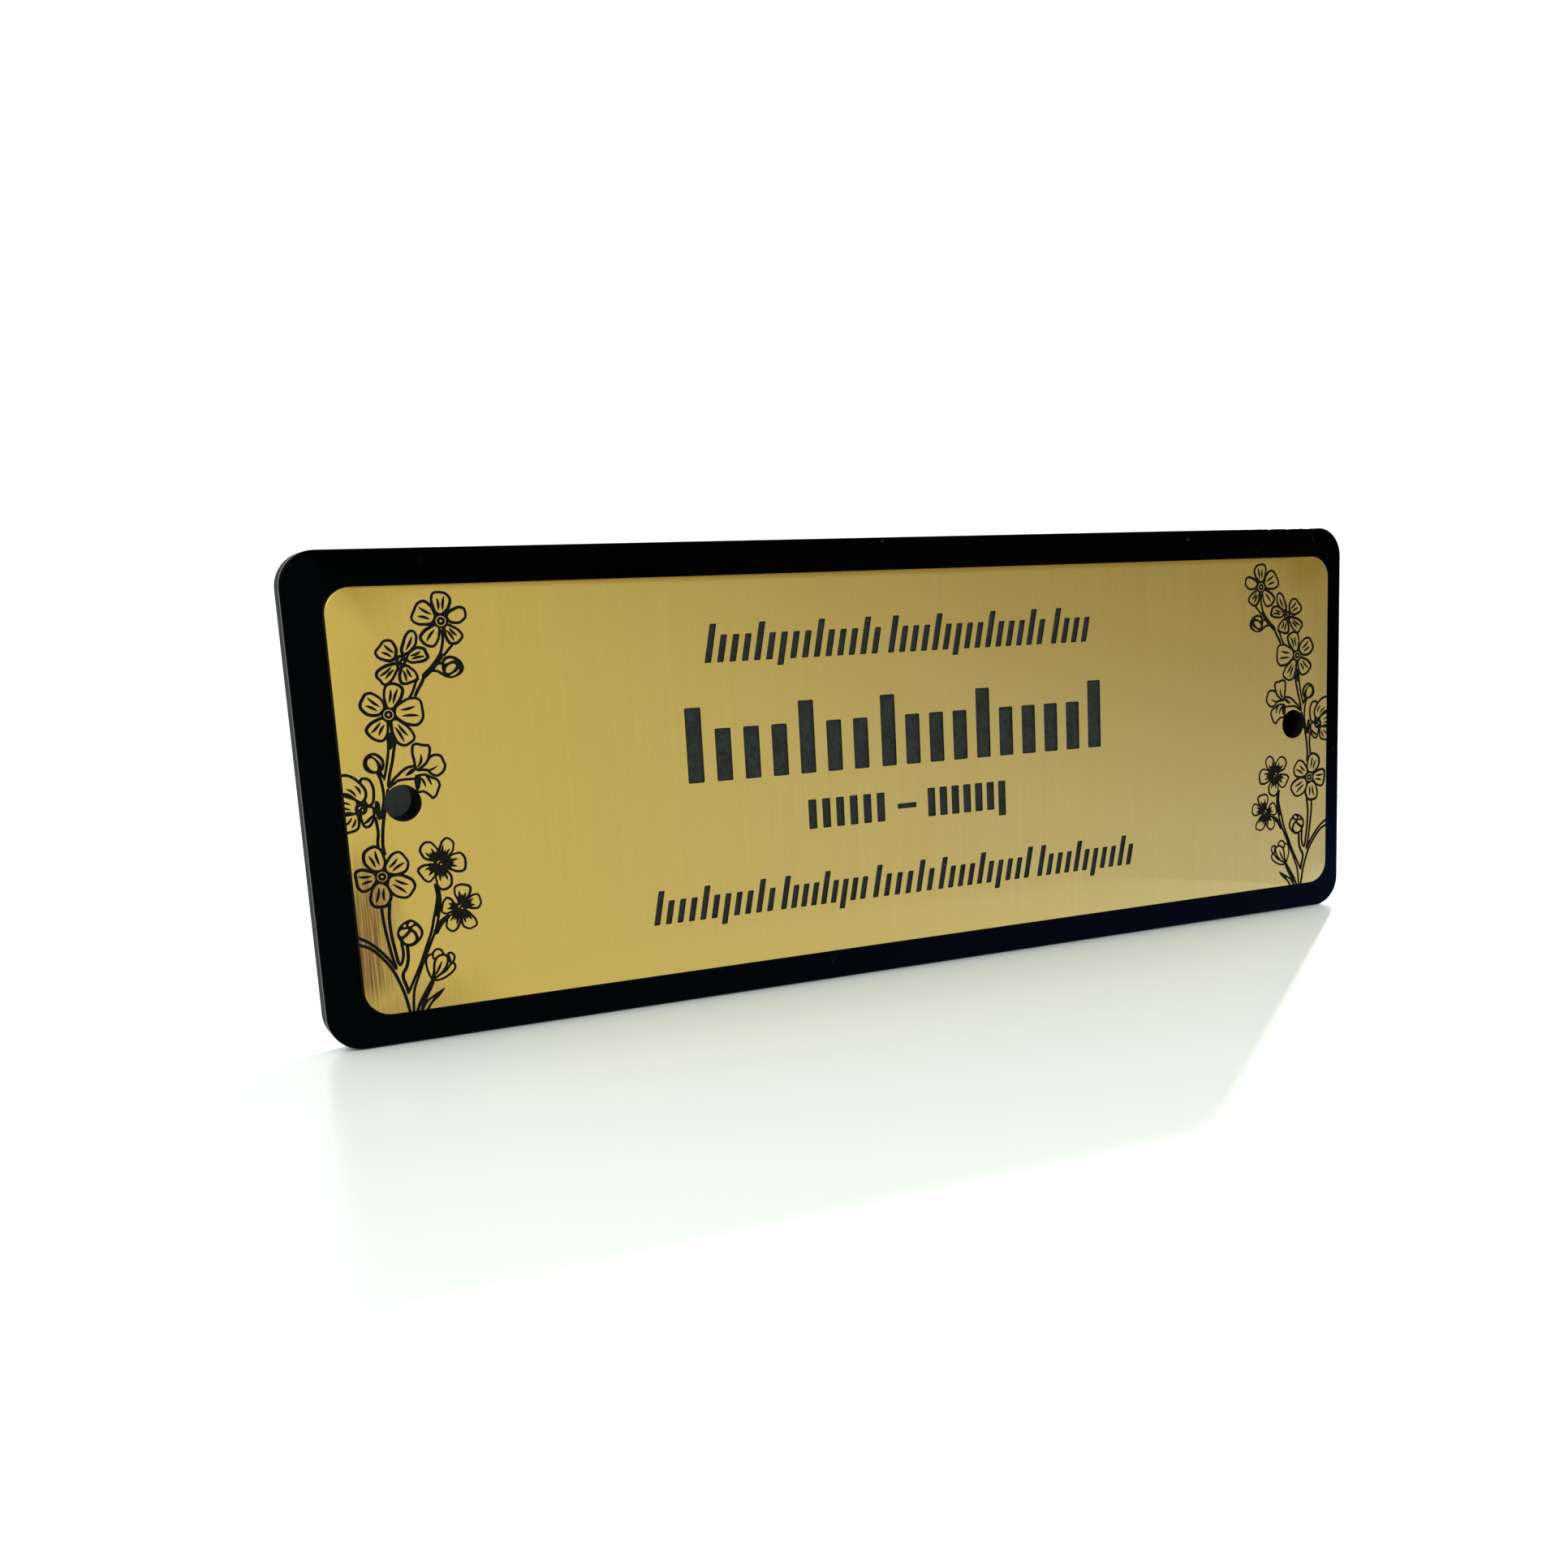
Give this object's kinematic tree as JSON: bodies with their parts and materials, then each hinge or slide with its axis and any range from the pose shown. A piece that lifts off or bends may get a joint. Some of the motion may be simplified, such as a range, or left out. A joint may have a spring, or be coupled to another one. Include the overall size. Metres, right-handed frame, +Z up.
{
  "type": "commemorative plaque",
  "caption": "Engraved memorial plaque: a brushed gold-faced plate on a gloss black board, with a flower sprig at each end, rows of strokes and a screw hole near each end.",
  "frame": {"origin": "centre of the board's flat back, at the wall mount", "axes": "+X to the right along the plaque's length as read from the front, +Z up, +Y into the wall; the engraved face looks along -Y"},
  "size_m": [0.2, 0.0075, 0.075],
  "materials": {
    "back_board": "gloss black acrylic with satin sawn edges",
    "face_plate": "brushed gold film on a black core, engraved through to the black"
  },
  "bodies": {
    "root": {"back_board": "back_board", "face_plate": "face_plate"}
  },
  "joints": []
}
